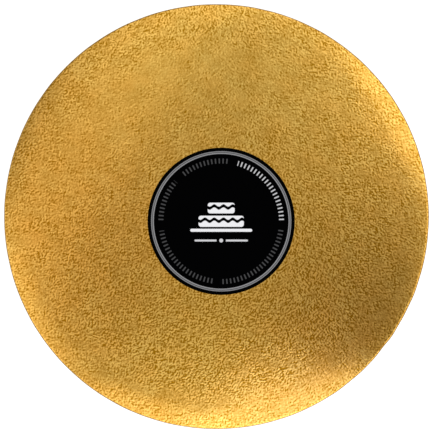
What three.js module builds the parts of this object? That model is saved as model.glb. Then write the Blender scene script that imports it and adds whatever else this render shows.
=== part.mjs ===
// A round gold cake board: a foil-covered card disc with a round paper label on its face.
// Units are millimetres and +Z is up. The origin is the centre of the underside.
import * as THREE from "three";

// Board
const boardDiameter = 200;
const boardThickness = 3;
const rimRadius = 1.2; // the foil rolls over the top edge
const hemRadius = 0.6; // and turns in more tightly under the bottom edge
const shoulderWidth = 10; // the pressed edge falls away over this width, inside the rim
const shoulderDrop = 0.25;

// Label
const labelDiameter = 69;
const labelThickness = 0.15;
const labelOffset = { x: 2.2, y: -2.2 }; // stuck a little right of and below the middle
const labelMargin = 4; // bare foil kept flat all round the label

// How finely the curves are divided
const boardSides = 144;
const labelSides = 96;
const arcSteps = 4;
const shoulderSteps = 5;

const boardRadius = boardDiameter / 2;
const labelRadius = labelDiameter / 2;

const goldFoil = new THREE.MeshStandardMaterial({
  color: "#c8974a",
  roughness: 0.38,
  metalness: 1,
});

const blackPaper = new THREE.MeshStandardMaterial({
  color: "#060606",
  roughness: 0.6,
  metalness: 0,
});

// Points of a quarter arc about a centre, from one angle to another, ends included.
function arc(centreR, centreZ, radius, from, to) {
  const points = [];
  for (let i = 0; i <= arcSteps; i += 1) {
    const angle = from + ((to - from) * i) / arcSteps;
    points.push(
      new THREE.Vector2(
        centreR + radius * Math.cos(angle),
        centreZ + radius * Math.sin(angle),
      ),
    );
  }
  return points;
}

// The shoulder eases from the rim's height up to the flat face, going inwards.
function shoulder(outerR) {
  const points = [];
  for (let i = 1; i <= shoulderSteps; i += 1) {
    const share = i / shoulderSteps;
    points.push(
      new THREE.Vector2(
        outerR - shoulderWidth * share,
        boardThickness - shoulderDrop * (1 - share) ** 2,
      ),
    );
  }
  return points;
}

// Turns a profile of (radius, height) points about the vertical axis.
function turn(profile, sides) {
  return new THREE.LatheGeometry(profile, sides).rotateX(Math.PI / 2);
}

function makeBoard() {
  const rimCentreR = boardRadius - rimRadius;
  const rimCentreZ = boardThickness - shoulderDrop - rimRadius;
  const flatRadius = labelRadius + Math.hypot(labelOffset.x, labelOffset.y) + labelMargin;
  const profile = [
    new THREE.Vector2(0, 0),
    ...arc(boardRadius - hemRadius, hemRadius, hemRadius, -Math.PI / 2, 0),
    ...arc(rimCentreR, rimCentreZ, rimRadius, 0, Math.PI / 2),
    ...shoulder(rimCentreR),
    new THREE.Vector2(flatRadius, boardThickness),
    new THREE.Vector2(0, boardThickness),
  ];
  const board = new THREE.Mesh(turn(profile, boardSides), goldFoil);
  board.name = "board";
  return board;
}

function makeLabel() {
  const profile = [
    new THREE.Vector2(0, 0),
    new THREE.Vector2(labelRadius, 0),
    new THREE.Vector2(labelRadius, labelThickness),
    new THREE.Vector2(0, labelThickness),
  ];
  const label = new THREE.Mesh(turn(profile, labelSides), blackPaper);
  label.name = "label";
  label.position.set(labelOffset.x, labelOffset.y, boardThickness);
  return label;
}

const cakeBoard = new THREE.Group();
cakeBoard.add(makeBoard(), makeLabel());

export default cakeBoard;
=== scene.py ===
# A round gold cake board with a round black label, seen from straight above.
import math

import bmesh
import bpy
import numpy as np
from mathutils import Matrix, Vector


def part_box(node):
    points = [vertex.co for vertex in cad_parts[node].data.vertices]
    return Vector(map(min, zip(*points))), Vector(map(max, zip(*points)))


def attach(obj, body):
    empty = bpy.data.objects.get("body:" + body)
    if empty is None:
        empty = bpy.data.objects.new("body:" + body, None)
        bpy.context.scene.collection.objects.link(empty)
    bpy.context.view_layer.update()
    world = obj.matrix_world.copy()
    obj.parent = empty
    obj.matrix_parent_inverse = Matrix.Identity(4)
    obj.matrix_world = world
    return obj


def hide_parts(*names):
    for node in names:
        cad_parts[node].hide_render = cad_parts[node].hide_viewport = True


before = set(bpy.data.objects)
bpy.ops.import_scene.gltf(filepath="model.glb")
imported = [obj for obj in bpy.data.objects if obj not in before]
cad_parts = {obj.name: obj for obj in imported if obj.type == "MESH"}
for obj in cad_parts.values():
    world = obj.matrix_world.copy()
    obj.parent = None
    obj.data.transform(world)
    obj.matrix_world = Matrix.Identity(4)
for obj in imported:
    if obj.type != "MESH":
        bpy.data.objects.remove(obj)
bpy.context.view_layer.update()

MM = 0.001

# Board, as the solid has it
BOARD_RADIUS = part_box("board")[1].x
BOARD_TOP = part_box("board")[1].z
RIM_RADIUS = 1.2 * MM
HEM_RADIUS = 0.6 * MM
SHOULDER_WIDTH = 10 * MM
SHOULDER_DROP = 0.25 * MM


class Value:
    """A number in a node tree. Arithmetic on it adds the Math nodes."""

    def __init__(self, tree, socket):
        self.tree = tree
        self.socket = socket

    def math(self, operation, *others):
        return self.tree.node("ShaderNodeMath", {"operation": operation}, [self, *others])

    def __add__(self, other):
        return self.math("ADD", other)

    def __sub__(self, other):
        return self.math("SUBTRACT", other)

    def __rsub__(self, other):
        return (self * -1).math("ADD", other)

    def __mul__(self, other):
        return self.math("MULTIPLY", other)

    def __truediv__(self, other):
        return self.math("DIVIDE", other)

    def __abs__(self):
        return self.math("ABSOLUTE")

    def at_least(self, other):
        return self.math("MAXIMUM", other)

    def at_most(self, other):
        return self.math("MINIMUM", other)

    def within(self, low, high):
        return self.at_least(low).at_most(high)

    def step_down(self, edge, softness):
        """1 where the value is below edge and 0 above it, with a soft change between."""
        settings = {"interpolation_type": "SMOOTHSTEP"}
        inputs = [self, edge - softness, edge + softness, 1.0, 0.0]
        return self.tree.node("ShaderNodeMapRange", settings, inputs)


class Tree:
    """The nodes of a material or of the world."""

    def __init__(self, owner):
        owner.use_nodes = True
        self.nodes = owner.node_tree.nodes
        self.links = owner.node_tree.links
        self.nodes.clear()

    def node(self, kind, settings=None, inputs=(), output=0):
        """Adds a node, makes its settings, fills its inputs in order or by name, and gives an output."""
        made = self.nodes.new(kind)
        for name, value in (settings or {}).items():
            setattr(made, name, value)
        pairs = inputs.items() if isinstance(inputs, dict) else enumerate(inputs)
        for key, value in pairs:
            if isinstance(value, Value):
                self.links.new(value.socket, made.inputs[key])
            elif value is not None:
                made.inputs[key].default_value = value
        return Value(self, made.outputs[output]) if made.outputs else made

    def mix(self, factor, low, high):
        """A colour between two colours, which are sockets 6 and 7 of the node and 2 of its outputs."""
        settings = {"data_type": "RGBA"}
        return self.node("ShaderNodeMix", settings, {0: factor, 6: low, 7: high}, output=2)

    def noise(self, point, inputs):
        """Cloudy noise, between -0.5 and 0.5."""
        return self.node("ShaderNodeTexNoise", {}, {"Vector": point, **inputs}) - 0.5

    def dot(self, vector, other):
        """The dot product of two vectors."""
        settings = {"operation": "DOT_PRODUCT"}
        return self.node("ShaderNodeVectorMath", settings, [vector, other], output=1)

    def axes(self, vector):
        """The x, y and z of a vector."""
        split = self.nodes.new("ShaderNodeSeparateXYZ")
        self.links.new(vector.socket, split.inputs[0])
        return [Value(self, socket) for socket in split.outputs]

    def object_space(self, centre=(0, 0, 0)):
        """Object coordinates in millimetres from a centre."""
        point = self.node("ShaderNodeTexCoord", output=3)
        start = [-c / MM for c in centre]
        return self.node("ShaderNodeMapping", {}, [point, start, (0, 0, 0), [1 / MM] * 3])


def material(name, shader_of):
    """A material whose surface is the shader that shader_of adds to its tree."""
    made = bpy.data.materials.new(name)
    tree = Tree(made)
    tree.node("ShaderNodeOutputMaterial", {}, [shader_of(tree)])
    return made


def rgba(red, green, blue):
    return (red, green, blue, 1.0)


# Gold foil darkened by painted shade in its grooves, lightened by painted highlight on its ridges
# (warmer and greener), and a painted line of shade where the rim turns
GROOVE_SHADE_GOLD = rgba(0.377, 0.166, 0.001)
RIDGE_HIGHLIGHT_GOLDS = rgba(0.93, 0.512, 0.105), rgba(0.91, 0.558, 0.129)
RIM_SHADE_GOLD = rgba(0.17, 0.11, 0.05)

# Noises over the foil: drift between the two ridge golds, clouds, mottling, patches of deeper grain
TONE_SHAPE = {"Scale": 0.09, "Detail": 2.0}
CLOUD_SHAPE = {"Scale": 0.1, "Detail": 3.0}
MOTTLE_SHAPE = {"Scale": 0.5, "Detail": 3.0, "Roughness": 0.9}
PATCH_SHAPE = {"Scale": 0.14, "Detail": 4.0, "Roughness": 0.7}
TONE_CHANGE = 2.5
PATCH_CHANGE = 4.0

# Finer strokes over the relief, on the foil paper laid out flat in millimetres
STROKE_SHAPE = {"Scale": 0.62, "Frequency": 1.13, "Anisotropy": 0.3}
STROKE_HEIGHT = 0.025 * MM

# How far the relief, the strokes, the mottling and the clouds move the colour from the painted groove
# shade to the painted ridge highlight
GRAIN_TINT = 0.12
STROKE_TINT = 2.85
MOTTLE_TINT = 3.3
CLOUD_TINT = 0.6

# The strokes lean one way to the left and the other way to the right, square to the light from the upper
# left and from the upper right, so their painted shade and highlight lie as that light would lay them
LEAN_ANGLE = math.radians(48)
LEAN_HEADING = (0.935, 0.355, 0.0)
LEAN_START = 26.6
LEAN_WIDTH = 25.0

# The grain's painted shade and highlight, and its strokes' bump, show more towards the front, where the
# light falls across the grain, but nearly evenly over a band along the rim, in millimetres
CONTRAST_HEADING = (0.34, -0.94, 0.0)
CONTRAST_WIDTH = 70.0
CONTRAST_CHANGE = 0.64
RIM_BAND_WIDTH = 18.0
RIM_BAND_CONTRAST = 0.77
RIM_BAND_CHANGE = -0.12

# Thin painted line of shade along the rim's turn, darkening the foil there
RIM_SHADE_BAND = (-0.6, 0.5)
RIM_SHADE_SOFTNESS = 0.2


def between(value, low, high, softness):
    """1 between two values and 0 outside them."""
    return abs(value - (low + high) / 2).step_down((high - low) / 2, softness)


def leaning_strokes(tree, point):
    """Short strokes, between -0.5 and 0.5, whose lean turns over across the board."""
    lean = ((tree.dot(point, LEAN_HEADING) - LEAN_START) / LEAN_WIDTH).within(-1.0, 1.0)
    inputs = {"Vector": point, "Orientation": lean * LEAN_ANGLE, **STROKE_SHAPE}
    return tree.node("ShaderNodeTexGabor", {"gabor_type": "2D"}, inputs) - 0.5


def grain_contrast(tree, point, reach):
    """How strongly the grain's painted shade and highlight and its strokes' bump show, about 1, at a
    point and its reach from the middle.
    """
    # Painted light: stronger grain shade and highlight towards the front, where the light falls across
    # the grain, and less change over the band along the rim.
    inner = reach.step_down(BOARD_RADIUS / MM - RIM_BAND_WIDTH, RIM_BAND_WIDTH / 2)
    level = inner * (1 - RIM_BAND_CONTRAST) + RIM_BAND_CONTRAST
    change = (inner * (1 - RIM_BAND_CHANGE) + RIM_BAND_CHANGE) * CONTRAST_CHANGE
    towards = (tree.dot(point, CONTRAST_HEADING) / CONTRAST_WIDTH).within(-1.0, 1.0)
    return towards * change + level


def gold_foil(tree):
    """Lacquered gold foil paper, with painted shade making its grooves a darker gold than its ridges,
    which carry painted highlight.
    """
    point = tree.node("ShaderNodeAttribute", {"attribute_name": "paper"}, output=1)
    grain = tree.node("ShaderNodeAttribute", {"attribute_name": "grain"}, output=2)
    reach = tree.dot(point, point).math("SQRT")
    patches = tree.noise(point, PATCH_SHAPE) * PATCH_CHANGE + 1
    contrast = grain_contrast(tree, point, reach) * patches.at_least(0.0)
    strokes = leaning_strokes(tree, point) * contrast
    mottle = tree.noise(point, MOTTLE_SHAPE) * contrast
    clouds = tree.noise(point, CLOUD_SHAPE)
    # Painted shade and highlight: the relief's hollows, the strokes and the noises darken the gold
    # towards the shaded groove gold and lighten it towards the lit ridge gold.
    ridge_highlight = grain * GRAIN_TINT + strokes * STROKE_TINT + mottle * MOTTLE_TINT + clouds * CLOUD_TINT
    tone = tree.noise(point, TONE_SHAPE) * TONE_CHANGE + 0.5
    ridge_highlight_gold = tree.mix(tone.within(0.0, 1.0), *RIDGE_HIGHLIGHT_GOLDS)
    colour = tree.mix((ridge_highlight + 0.5).within(0.0, 1.0), GROOVE_SHADE_GOLD, ridge_highlight_gold)
    # A thin painted line of shade where the rim turns.
    low, high = (BOARD_RADIUS / MM + edge for edge in RIM_SHADE_BAND)
    colour = tree.mix(between(reach, low, high, RIM_SHADE_SOFTNESS), colour, RIM_SHADE_GOLD)
    normal = tree.node(
        "ShaderNodeBump", {}, {"Strength": 1.0, "Distance": STROKE_HEIGHT, "Height": strokes}
    )
    inputs = {
        "Base Color": colour,
        "Metallic": 1.0,
        "Specular Tint": rgba(0.92, 0.66, 0.34),
        "Roughness": 0.17,
        "Coat Weight": 0.05,
        "Coat Roughness": 0.2,
        "Normal": normal,
    }
    return tree.node("ShaderNodeBsdfPrincipled", {}, inputs)


def backing_paper(tree):
    """Plain pale paper with a faint fibre mottling."""
    point = tree.object_space()
    fibres = tree.node("ShaderNodeTexNoise", {}, {"Vector": point, "Scale": 1.4, "Detail": 6.0})
    colour = tree.mix(fibres, rgba(0.62, 0.6, 0.55), rgba(0.78, 0.77, 0.73))
    normal = tree.node(
        "ShaderNodeBump", {}, {"Strength": 0.3, "Distance": 0.05 * MM, "Height": fibres}
    )
    inputs = {"Base Color": colour, "Roughness": 0.85, "Normal": normal}
    return tree.node("ShaderNodeBsdfPrincipled", {}, inputs)


# Label print, in millimetres from the label's middle
RING_STRANDS = ((31.82, 0.24, 0.21), (32.64, 0.2, 0.18))
RING_BED = (32.22, 0.62, 0.065)
TICK_BAND = (28.25, 1.15)
TICKS = 100
TICK_WIDTH = 0.6
TICK_GROUPS = ((82, 130), (139, 180), (189, 262), (269, 352))
BRIGHT_GROUP = (1, 74)
DIM_INK = 0.045
BRIGHT_INK = 0.4
WHITE_INK = 0.62
RULE_INK = 0.45
EDGE_SOFTNESS = 0.12
GROUP_SOFTNESS = 0.3

# Cake picture: centre, half size and corner radius of each box, then the wavy icing line
CAKE_TIERS = (((0, 0.0), (10.6, 2.6), 1.2), ((0, 6.2), (6.3, 2.5), 1.2))
CAKE_PLATE = ((0, -4.2), (14.5, 0.7), 0.7)
ICING_RISE = 0.5
ICING_WAVE = 0.55
ICING_WAVE_TURN = 1.45
ICING_HALF_WIDTH = 0.75

# Rule below the cake, broken round a dot
RULE = ((0, -9.0), (12.5, 0.45), 0.45)
RULE_DOT = ((0, -9.0), (0.9, 0.9), 0.9)
RULE_GAP = 2.2


def rounded_box(x, y, centre, half, corner):
    """Distance outside a box with round corners, below zero inside it."""
    across = abs(x - centre[0]) - (half[0] - corner)
    along = abs(y - centre[1]) - (half[1] - corner)
    outside_x = across.at_least(0.0)
    outside_y = along.at_least(0.0)
    outside = (outside_x * outside_x + outside_y * outside_y).math("SQRT")
    inside = across.at_least(along).at_most(0.0)
    return outside + inside - corner


def cake_sign(x, y):
    """A plain picture of a cake with two tiers on a plate, and its icing lines cut out."""
    shape = rounded_box(x, y, *CAKE_PLATE).step_down(0.0, EDGE_SOFTNESS)
    for centre, half, corner in CAKE_TIERS:
        body = rounded_box(x, y, centre, half, corner).step_down(0.0, EDGE_SOFTNESS)
        wave = (x * ICING_WAVE_TURN).math("SINE") * ICING_WAVE
        icing = abs(y - (centre[1] + ICING_RISE) - wave).step_down(ICING_HALF_WIDTH, EDGE_SOFTNESS)
        shape = shape.at_least(body * (1 - icing))
    return shape


def label_rule(x, y):
    """A thin rule below the cake, broken by a dot in its middle."""
    rule = rounded_box(x, y, *RULE).step_down(0.0, EDGE_SOFTNESS)
    gap = abs(x).step_down(RULE_GAP, EDGE_SOFTNESS)
    dot = rounded_box(x, y, *RULE_DOT).step_down(0.0, EDGE_SOFTNESS)
    return (rule * (1 - gap)).at_least(dot)


def tick_ring(x, y, radius):
    """Ticks round the label, in groups as words would be, one group brighter."""
    degrees = y.math("ARCTAN2", x) * (180 / math.pi)
    degrees = degrees.math("FLOORED_MODULO", 360.0)
    across = abs((degrees * (TICKS / 360)).math("FRACT") - 0.5) * (math.tau * TICK_BAND[0] / TICKS)
    ticks = across.step_down(TICK_WIDTH / 2, EDGE_SOFTNESS)
    ticks = ticks * abs(radius - TICK_BAND[0]).step_down(TICK_BAND[1], EDGE_SOFTNESS)
    ink = between(degrees, *BRIGHT_GROUP, GROUP_SOFTNESS) * BRIGHT_INK
    for low, high in TICK_GROUPS:
        ink = ink + between(degrees, low, high, GROUP_SOFTNESS) * DIM_INK
    return ticks * ink


def black_paper(tree):
    """Near-black matt label paper, printed with a grey ring, ticks, a cake and a rule."""
    low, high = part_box("label")
    x, y, _ = tree.axes(tree.object_space((low + high) / 2))
    radius = (x * x + y * y).math("SQRT")
    ink = abs(radius - RING_BED[0]).step_down(RING_BED[1], EDGE_SOFTNESS) * RING_BED[2]
    for middle, half, shade in RING_STRANDS:
        ink = ink.at_least(abs(radius - middle).step_down(half, EDGE_SOFTNESS) * shade)
    ink = ink + tick_ring(x, y, radius)
    ink = ink + cake_sign(x, y) * WHITE_INK
    ink = ink + label_rule(x, y) * RULE_INK
    colour = tree.mix(ink, rgba(0.0003, 0.0003, 0.0004), rgba(1.0, 1.0, 1.0))
    inputs = {"Base Color": colour, "Roughness": 0.55, "Specular IOR Level": 0.005}
    return tree.node("ShaderNodeBsdfPrincipled", {}, inputs)


# Board

# Foil hem and backing paper on the underside
HEM_WIDTH = 13 * MM
FOIL_STEP = 0.12 * MM
PLEATS = 54
PLEAT_DEPTH = 0.09 * MM
PLEAT_SWAY = 0.4
PLEAT_SWAYS = 5
PLEAT_SHARPNESS = 3

# Rings of the rolled edge, by tilt from level, and of the hem, by share of its width
RIM_TILTS = (15, 30, 45, 60, 75, 90)
HEM_TILTS = (90, 60, 30, 0)
HEM_SHARES = (0.35, 1.0)
ROLL_PLEATING = 0.3

# Ripple of the wrapped edge, most at the lower right: waves round the board, share and phase
RIPPLE_HEADING = -36
RIPPLE_SPREAD = 16
RIPPLE_LEAST = 0.03 * MM
RIPPLE_MOST = 0.16 * MM
RIPPLE_WAVES = ((31, 0.6, 0.7), (53, 0.4, 2.1))

# Relief of the foil's grain
GRAIN_PERIOD = 1.7 * MM
GRAIN_SPREAD = 0.4
GRAIN_HEIGHT = 0.006 * MM
GRAIN_STEP = 0.3 * MM
GRAIN_SEED = 11
GRAIN_MARGIN = 1.1
FACE_CELLS = 288


class Grain:
    """Wormy ridges, from seeded noise that keeps only waves of about one length."""

    def __init__(self, seed):
        count = 2 * round(GRAIN_MARGIN * BOARD_RADIUS / GRAIN_STEP)
        noise = np.random.default_rng(seed).standard_normal((count, count))
        waves = np.fft.fftfreq(count, GRAIN_STEP)
        length = np.hypot(*np.meshgrid(waves, waves)) * GRAIN_PERIOD
        band = np.exp(-0.5 * ((length - 1) / GRAIN_SPREAD) ** 2)
        heights = np.fft.ifft2(np.fft.fft2(noise) * band).real
        self.heights = np.tanh(heights / heights.std())

    def at(self, x, y):
        """Heights at points, between about -1 and 1."""
        count = len(self.heights)
        u, v = (np.asarray(c) / GRAIN_STEP + count / 2 for c in (x, y))
        left, low = np.floor(u).astype(int), np.floor(v).astype(int)
        s, t = u - left, v - low
        near = self.heights[low % count, left % count] * (1 - s)
        near = near + self.heights[low % count, (left + 1) % count] * s
        far = self.heights[(low + 1) % count, left % count] * (1 - s)
        far = far + self.heights[(low + 1) % count, (left + 1) % count] * s
        return near * (1 - t) + far * t


def face_disc(radius):
    """A grid of near-square cells whose outline is a circle."""
    bm = bmesh.new()
    bmesh.ops.create_grid(bm, x_segments=FACE_CELLS, y_segments=FACE_CELLS, size=1.0)
    for vert in bm.verts:
        u, v, _ = vert.co
        vert.co.x = radius * u * math.sqrt(1 - v * v / 2)
        vert.co.y = radius * v * math.sqrt(1 - u * u / 2)
    return bm


def rim_wobble(angle):
    """How far the wrapped edge strays from a true circle, most at the lower right."""
    corner = math.exp(-(((math.degrees(angle) - RIPPLE_HEADING) / RIPPLE_SPREAD) ** 2))
    ripple = sum(share * math.sin(count * angle + phase) for count, share, phase in RIPPLE_WAVES)
    return (RIPPLE_LEAST + RIPPLE_MOST * corner) * (ripple - 1)


def pleat(angle):
    """Depth of the hem's pleats, from 0 on their crests to 1 between them."""
    sway = PLEAT_SWAY * math.sin(PLEAT_SWAYS * angle)
    return abs(math.sin(angle * PLEATS / 2 + sway)) ** PLEAT_SHARPNESS


def rim_rings():
    """Radius, height and pleat share of each ring, from the face to the hem's inner edge."""
    rings = []
    centre = BOARD_RADIUS - RIM_RADIUS, BOARD_TOP - SHOULDER_DROP - RIM_RADIUS
    for tilt in RIM_TILTS:
        a = math.radians(tilt)
        radius = centre[0] + RIM_RADIUS * math.sin(a)
        rings.append((radius, centre[1] + RIM_RADIUS * math.cos(a), 0.0))
    for tilt in HEM_TILTS:
        a = math.radians(tilt)
        radius = BOARD_RADIUS - HEM_RADIUS + HEM_RADIUS * math.sin(a)
        rings.append((radius, HEM_RADIUS - HEM_RADIUS * math.cos(a), ROLL_PLEATING))
    for share in HEM_SHARES:
        rings.append((BOARD_RADIUS - HEM_RADIUS - HEM_WIDTH * share, 0.0, 1.0))
    return rings


def extrude_ring(bm, edges, radius_of, height_of):
    """Extrudes an open edge loop to a new radius and height, each worked out from the angle."""
    made = bmesh.ops.extrude_edge_only(bm, edges=edges)["geom"]
    for vert in (item for item in made if isinstance(item, bmesh.types.BMVert)):
        angle = math.atan2(vert.co.y, vert.co.x)
        radius = radius_of(angle)
        vert.co = Vector((radius * math.cos(angle), radius * math.sin(angle), height_of(angle)))
    return [item for item in made if isinstance(item, bmesh.types.BMEdge) and item.is_boundary]


def shoulder_height(radius):
    """The face's height: flat, then easing down over the shoulder."""
    into = max(0.0, radius - (BOARD_RADIUS - RIM_RADIUS - SHOULDER_WIDTH)) / SHOULDER_WIDTH
    return BOARD_TOP - SHOULDER_DROP * into**2


def emboss(bm, distances):
    """Presses the grain into the face and over the rim, and keeps it and the flat paper in layers."""
    grain_layer = bm.verts.layers.float.new("grain")
    paper_layer = bm.verts.layers.float_vector.new("paper")
    grain = Grain(GRAIN_SEED)
    verts = list(bm.verts)
    reach = [distances.get(v.index, math.hypot(v.co.x, v.co.y)) for v in verts]
    angles = [math.atan2(v.co.y, v.co.x) for v in verts]
    across, along = reach * np.cos(angles), reach * np.sin(angles)
    heights = grain.at(across, along)
    bm.normal_update()
    for vert, height, x, y in zip(verts, heights, across, along):
        vert[grain_layer] = height
        vert[paper_layer] = (x / MM, y / MM, 0)
        vert.co -= vert.normal * GRAIN_HEIGHT * (1 - height)


def make_board():
    """The board's foil skin and backing as one closed mesh."""
    bm = face_disc(BOARD_RADIUS - RIM_RADIUS)
    for vert in bm.verts:
        vert.co.z = shoulder_height(math.hypot(vert.co.x, vert.co.y))
    edges = [e for e in bm.edges if e.is_boundary]
    distances = {}
    bm.verts.index_update()
    travelled = BOARD_RADIUS - RIM_RADIUS
    before = (travelled, BOARD_TOP - SHOULDER_DROP)
    for radius, height, share in rim_rings():
        count = len(bm.verts)
        travelled += math.dist(before, (radius, height))
        before = (radius, height)
        edges = extrude_ring(
            bm,
            edges,
            lambda angle: radius + rim_wobble(angle),
            lambda angle: height + PLEAT_DEPTH * share * pleat(angle),
        )
        bm.verts.index_update()
        bm.verts.ensure_lookup_table()
        distances.update({i: travelled for i in range(count, len(bm.verts))})
    bmesh.ops.recalc_face_normals(bm, faces=bm.faces)
    emboss(bm, distances)
    inner = BOARD_RADIUS - HEM_RADIUS - HEM_WIDTH
    edges = extrude_ring(bm, edges, lambda angle: inner, lambda angle: FOIL_STEP)
    close_underside(bm, edges)
    finishes = [material("gold_foil", gold_foil), material("backing_paper", backing_paper)]
    return finish_piece(bm, "foil_board", finishes)


def close_underside(bm, edges):
    """Fills the backing with one flat fan of plain paper."""
    made = bmesh.ops.extrude_edge_only(bm, edges=edges)["geom"]
    verts = [item for item in made if isinstance(item, bmesh.types.BMVert)]
    bmesh.ops.pointmerge(bm, verts=verts, merge_co=(0, 0, FOIL_STEP))
    for face in bm.faces:
        if all(abs(v.co.z - FOIL_STEP) < 1e-7 for v in face.verts):
            face.material_index = 1


def put_in_order(bm):
    """Sorts edges and faces by their corners, as an extrusion leaves them in no fixed order."""
    bm.verts.index_update()
    for parts in (bm.edges, bm.faces):
        corners = {part: sorted(vert.index for vert in part.verts) for part in parts}
        order = {part: place for place, part in enumerate(sorted(parts, key=corners.get))}
        parts.sort(key=order.get)


def finish_piece(bm, name, materials):
    """Turns a bmesh into a piece with outward faces, smooth but for its flat backing."""
    bmesh.ops.recalc_face_normals(bm, faces=bm.faces)
    put_in_order(bm)
    for face in bm.faces:
        face.smooth = face.material_index == 0
    mesh = bpy.data.meshes.new(name)
    bm.to_mesh(mesh)
    bm.free()
    for made in materials:
        mesh.materials.append(made)
    piece = bpy.data.objects.new(name, mesh)
    bpy.context.scene.collection.objects.link(piece)
    return piece


# Stage

# Photograph: the board's circle in its 434-pixel frame
PHOTO_SIDE = 434
PHOTO_CENTRE = (216.0, 216.1)
PHOTO_RADIUS = 212.3
CAMERA_HEIGHT = 0.3


def white_floor(tree):
    """White card that the camera and the foil see as bright as a lit backdrop, with its shadow kept."""
    seen = tree.node("ShaderNodeLightPath", output=0)
    for output in (3, 6):  # glossy and transmission rays see what the camera sees
        seen = seen.at_least(tree.node("ShaderNodeLightPath", output=output))
    plain = tree.node("ShaderNodeBsdfDiffuse", {}, [rgba(0.8, 0.8, 0.8)])
    card = tree.node("ShaderNodeBsdfDiffuse", {}, [rgba(0.4, 0.4, 0.4)])
    glow = tree.node("ShaderNodeEmission", {}, [rgba(1.0, 1.0, 1.0), 0.75])
    lit = tree.node("ShaderNodeAddShader", {}, [card, glow])
    return tree.node("ShaderNodeMixShader", {}, [seen, plain, lit])


def make_floor():
    bm = bmesh.new()
    bmesh.ops.create_grid(bm, x_segments=1, y_segments=1, size=3.0)
    floor = finish_piece(bm, "floor", [material("white_floor", white_floor)])


# Soft tent: its level, then heading and tilt from straight up in degrees, width, brightness
TENT_LEVEL = 0.985
TENT_LIGHTS = (
    (0, 0, 20, -0.35),
    (-33, 21, 9.5, -0.72),
    (218, 14, 7.5, -0.17),
    (228, 15, 4.5, -0.09),
    (262, 15, 4.5, 0.1),
    (214, 22, 5, 0.3),
    (62, 24, 6, 0.28),
    (155, 32, 9, -0.85),
    (135, 75, 26, -0.95),
    (-75, 78, 16, 2.0),
    (-80, 65, 26, 1.1),
    (20, 65, 24, 0.9),
)

# Brighter side of the tent: heading, how far towards it the side begins, softness, brightness
WALL_HEADING = 146
WALL_START = 0.165
WALL_SOFTNESS = 0.03
WALL_LEVEL = 0.45

# Tinted patches of the tent: heading and tilt, width, colour
TENT_TINTS = (
    (188, 10, 9.5, rgba(1.0, 0.87, 0.75)),
    (82, 14, 9, rgba(0.98, 1.06, 1.1)),
    (258, 16, 6, rgba(0.99, 1.03, 1.0)),
    (-71, 12.5, 6, rgba(0.98, 1.06, 1.0)),
    (-51, 15.5, 4.5, rgba(1.0, 0.86, 0.82)),
)

# Round softboxes level with the camera: place, diameter, brightness, colour
SOFTBOXES = (
    ("front_softbox", (0.082, -0.249), 0.23, 0.84, (0.87, 0.92, 1.4)),
    ("corner_softbox", (-0.07, -0.268), 0.2, 0.42, (1.0, 0.94, 1.1)),
    ("right_softbox", (0.245, 0.145), 0.23, 0.6, (0.92, 0.94, 1.1)),
)


def heading(azimuth, tilt):
    """The unit vector at an azimuth from +X, tilted from straight up."""
    a, t = math.radians(azimuth), math.radians(tilt)
    return (math.cos(a) * math.sin(t), math.sin(a) * math.sin(t), math.cos(t))


def lobe(tree, direction, azimuth, tilt, width):
    """1 towards a heading, falling off smoothly over a width in degrees."""
    nearness = tree.dot(direction, heading(azimuth, tilt)) - 1
    return (nearness / math.radians(width) ** 2).math("EXPONENT")


def make_tent():
    """A soft tent of light round the board, that the camera sees as plain white."""
    world = bpy.data.worlds.new("soft_tent")
    bpy.context.scene.world = world
    tree = Tree(world)
    direction = tree.node("ShaderNodeTexCoord", output=0)
    light = TENT_LEVEL
    for azimuth, tilt, width, brightness in TENT_LIGHTS:
        light = lobe(tree, direction, azimuth, tilt, width) * brightness + light
    side = tree.dot(direction, heading(WALL_HEADING, 90))
    wall = 1 - side.step_down(WALL_START, WALL_SOFTNESS)
    light = (wall * WALL_LEVEL + light).at_least(0.0)
    colour = rgba(1.0, 1.0, 1.0)
    for azimuth, tilt, width, tint in TENT_TINTS:
        colour = tree.mix(lobe(tree, direction, azimuth, tilt, width), colour, tint)
    tent = tree.node("ShaderNodeBackground", {}, [colour, light])
    white = tree.node("ShaderNodeBackground", {}, [rgba(1.0, 1.0, 1.0), 1.0])
    seen = tree.node("ShaderNodeLightPath", output=0)
    shown = tree.node("ShaderNodeMixShader", {}, [seen, tent, white])
    tree.node("ShaderNodeOutputWorld", {}, [shown])


def make_softboxes():
    """Small round softboxes beside the camera, whose glow the foil picks up on each side."""
    for name, place, diameter, brightness, colour in SOFTBOXES:
        lamp = bpy.data.lights.new(name, "AREA")
        lamp.shape = "DISK"
        lamp.size = diameter
        lamp.color = colour
        lamp.energy = brightness * math.pi * diameter**2
        softbox = bpy.data.objects.new(name, lamp)
        softbox.location = (*place, CAMERA_HEIGHT)
        softbox.rotation_euler = Vector((*place, CAMERA_HEIGHT)).to_track_quat("Z", "Y").to_euler()
        softbox.visible_camera = False
        bpy.context.scene.collection.objects.link(softbox)


def make_camera():
    """A camera straight above, framing the board as the photograph does."""
    per_pixel = BOARD_RADIUS / PHOTO_RADIUS
    middle = (PHOTO_SIDE - 1) / 2
    data = bpy.data.cameras.new("camera")
    data.lens = CAMERA_HEIGHT * data.sensor_width / (PHOTO_SIDE * per_pixel)
    camera = bpy.data.objects.new("camera", data)
    right = (middle - PHOTO_CENTRE[0]) * per_pixel
    up = (PHOTO_CENTRE[1] - middle) * per_pixel
    camera.location = (right, up, BOARD_TOP / 2 + CAMERA_HEIGHT)
    bpy.context.scene.collection.objects.link(camera)
    bpy.context.scene.camera = camera


board = make_board()
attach(board, "root")
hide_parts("board")

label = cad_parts["label"]
label.data.materials.clear()
label.data.materials.append(material("black_paper", black_paper))

make_floor()
make_tent()
make_softboxes()
make_camera()
bpy.context.scene.view_settings.view_transform = "Standard"
